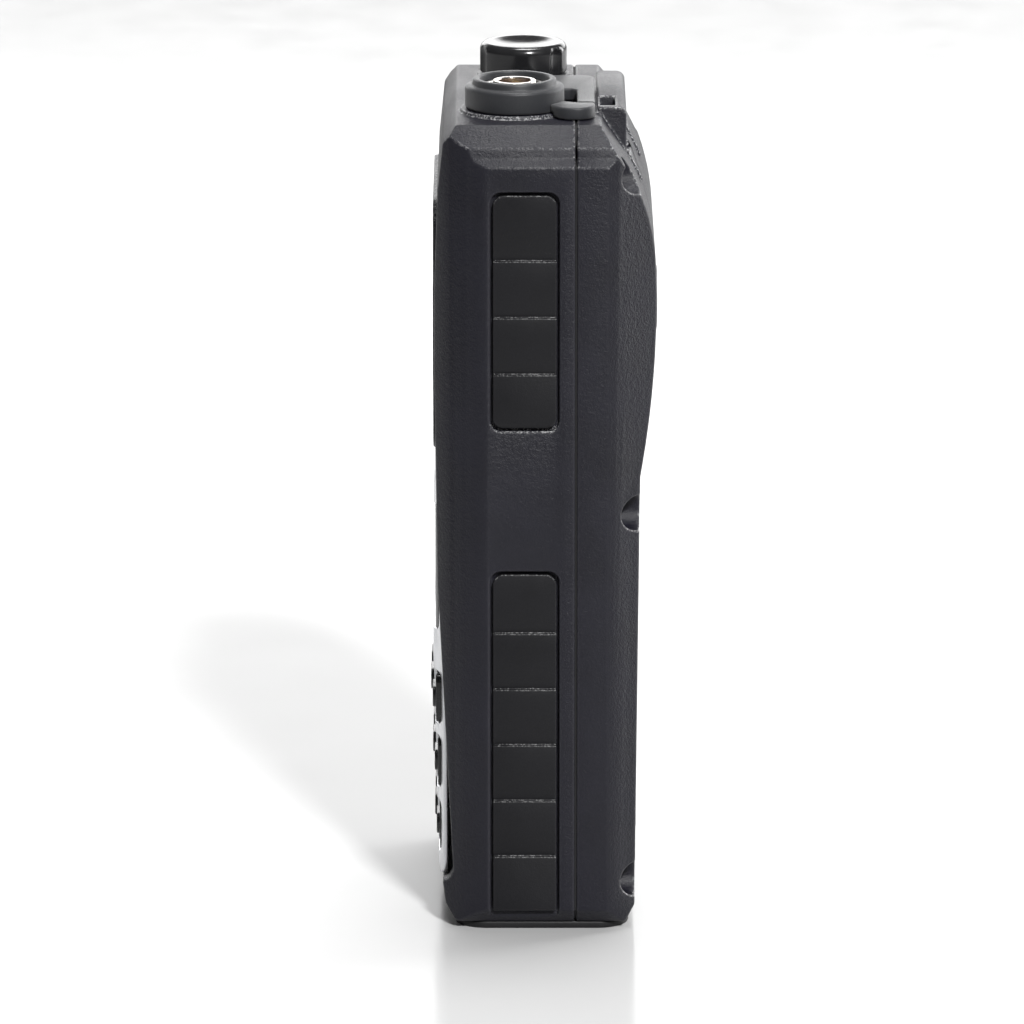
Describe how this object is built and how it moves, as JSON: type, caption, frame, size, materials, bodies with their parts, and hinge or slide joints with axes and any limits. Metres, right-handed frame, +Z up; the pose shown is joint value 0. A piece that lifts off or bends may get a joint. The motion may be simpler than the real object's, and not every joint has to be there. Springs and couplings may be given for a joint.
{
  "type": "two way radio",
  "caption": "Slim handheld two way radio with display, keypad, side grips, tuning knob, antenna socket in a rubber ring with jack cap, and a bulged back with clip stud and battery door",
  "frame": {"origin": "centre of the foot's underside, on the surface the radio stands on", "axes": "+Z up the radio, +Y towards its back, +X towards the antenna side"},
  "size_m": [0.057, 0.0315, 0.1185],
  "materials": {
    "case_plastic": "fine grained charcoal moulding",
    "grip_rubber": "satin black rubber",
    "ring_rubber": "grey rubber",
    "gloss_black": "gloss black",
    "key_black": "satin black key cap",
    "collar_grey": "grey collar",
    "panel_silver": "silver paint",
    "display_glass": "dark display window",
    "lcd_green": "display glass",
    "board_green": "solder mask",
    "bright_metal": "bright steel",
    "plated": "nickel plate",
    "white_insulator": "cream insulator",
    "gold": "gold plate",
    "frame_alloy": "cast alloy",
    "chip_black": "moulded parts",
    "battery_wrap": "battery wrap",
    "cone_paper": "speaker cone and cloth",
    "magnet": "magnet",
    "lamp_lens": "status lamp lens"
  },
  "bodies": {
    "radio": {"front_case": "case_plastic", "rear_case": "case_plastic", "case_gasket": "grip_rubber", "base_foot": "grip_rubber", "case_screws": "bright_metal", "keypad_bezel": "panel_silver", "display_lens": "display_glass", "lcd_module": "lcd_green", "keypad_mat": "case_plastic", "keypad_board": "board_green", "microphone": "chip_black", "side_switches": "chip_black", "side_board": "board_green", "side_grip_upper": "grip_rubber", "side_grip_lower_right": "grip_rubber", "side_grip_lower_left": "grip_rubber", "knob_collar": "collar_grey", "encoder_body": "collar_grey", "antenna_barrel": "plated", "antenna_nut": "plated", "antenna_insulator": "white_insulator", "antenna_contact": "gold", "antenna_ring": "ring_rubber", "cap_strap": "ring_rubber", "jack_block": "collar_grey", "belt_clip_stud": "gloss_black", "door_pin": "bright_metal", "battery_pack": "battery_wrap", "battery_contacts": "gold", "chassis_frame": "frame_alloy", "main_board": "board_green", "shield_can": "bright_metal", "transceiver_chip": "chip_black", "power_amplifier": "frame_alloy", "board_standoffs": "bright_metal", "speaker_basket": "bright_metal", "speaker_cone": "cone_paper", "speaker_magnet": "magnet", "speaker_mesh": "cone_paper", "status_lamp": "lamp_lens"},
    "tuning_knob": {"tuning_knob": "gloss_black", "encoder_shaft": "bright_metal"},
    "jack_cap": {"jack_cap": "ring_rubber"},
    "battery_door": {"battery_door": "case_plastic"},
    "battery_latch": {"battery_latch": "gloss_black"},
    "talk_button": {"talk_button": "grip_rubber"},
    "monitor_key": {"monitor_key": "grip_rubber"},
    "lamp_key": {"lamp_key": "grip_rubber"},
    "key_1_1": {"key_1_1": "key_black"},
    "key_1_2": {"key_1_2": "key_black"},
    "key_1_3": {"key_1_3": "key_black"},
    "key_1_4": {"key_1_4": "key_black"},
    "key_2_1": {"key_2_1": "key_black"},
    "key_2_2": {"key_2_2": "key_black"},
    "key_2_3": {"key_2_3": "key_black"},
    "key_2_4": {"key_2_4": "key_black"},
    "key_3_1": {"key_3_1": "key_black"},
    "key_3_2": {"key_3_2": "key_black"},
    "key_3_3": {"key_3_3": "key_black"},
    "key_3_4": {"key_3_4": "key_black"}
  },
  "joints": [
    {"name": "knob_turn", "type": "hinge", "parent": "radio", "child": "tuning_knob", "pos_m": [-0.0123, -0.0031, 0.1142], "axis": [0, 0, 1], "continuous": true},
    {"name": "jack_cap_lift", "type": "hinge", "parent": "radio", "child": "jack_cap", "pos_m": [0.0154, 0.0055, 0.115], "axis": [0, 1, 0], "range_deg": [0, 110]},
    {"name": "battery_door_swing", "type": "hinge", "parent": "radio", "child": "battery_door", "pos_m": [0, 0.01175, 0.013], "axis": [-1, 0, 0], "range_deg": [0, 100]},
    {"name": "battery_latch_slide", "type": "slide", "parent": "radio", "child": "battery_latch", "axis": [0, 0, -1], "range_m": [0, 0.0014]},
    {"name": "talk_button_press", "type": "slide", "parent": "radio", "child": "talk_button", "axis": [1, 0, 0], "range_m": [0, 0.0008], "stiffness_N_per_m": 1500},
    {"name": "monitor_key_press", "type": "slide", "parent": "radio", "child": "monitor_key", "axis": [1, 0, 0], "range_m": [0, 0.0006], "stiffness_N_per_m": 1500},
    {"name": "lamp_key_press", "type": "slide", "parent": "radio", "child": "lamp_key", "axis": [1, 0, 0], "range_m": [0, 0.0006], "stiffness_N_per_m": 1500},
    {"name": "key_1_1_press", "type": "slide", "parent": "radio", "child": "key_1_1", "axis": [0, 1, 0], "range_m": [0, 0.0006], "stiffness_N_per_m": 1200},
    {"name": "key_1_2_press", "type": "slide", "parent": "radio", "child": "key_1_2", "axis": [0, 1, 0], "range_m": [0, 0.0006], "stiffness_N_per_m": 1200},
    {"name": "key_1_3_press", "type": "slide", "parent": "radio", "child": "key_1_3", "axis": [0, 1, 0], "range_m": [0, 0.0006], "stiffness_N_per_m": 1200},
    {"name": "key_1_4_press", "type": "slide", "parent": "radio", "child": "key_1_4", "axis": [0, 1, 0], "range_m": [0, 0.0006], "stiffness_N_per_m": 1200},
    {"name": "key_2_1_press", "type": "slide", "parent": "radio", "child": "key_2_1", "axis": [0, 1, 0], "range_m": [0, 0.0006], "stiffness_N_per_m": 1200},
    {"name": "key_2_2_press", "type": "slide", "parent": "radio", "child": "key_2_2", "axis": [0, 1, 0], "range_m": [0, 0.0006], "stiffness_N_per_m": 1200},
    {"name": "key_2_3_press", "type": "slide", "parent": "radio", "child": "key_2_3", "axis": [0, 1, 0], "range_m": [0, 0.0006], "stiffness_N_per_m": 1200},
    {"name": "key_2_4_press", "type": "slide", "parent": "radio", "child": "key_2_4", "axis": [0, 1, 0], "range_m": [0, 0.0006], "stiffness_N_per_m": 1200},
    {"name": "key_3_1_press", "type": "slide", "parent": "radio", "child": "key_3_1", "axis": [0, 1, 0], "range_m": [0, 0.0006], "stiffness_N_per_m": 1200},
    {"name": "key_3_2_press", "type": "slide", "parent": "radio", "child": "key_3_2", "axis": [0, 1, 0], "range_m": [0, 0.0006], "stiffness_N_per_m": 1200},
    {"name": "key_3_3_press", "type": "slide", "parent": "radio", "child": "key_3_3", "axis": [0, 1, 0], "range_m": [0, 0.0006], "stiffness_N_per_m": 1200},
    {"name": "key_3_4_press", "type": "slide", "parent": "radio", "child": "key_3_4", "axis": [0, 1, 0], "range_m": [0, 0.0006], "stiffness_N_per_m": 1200}
  ]
}
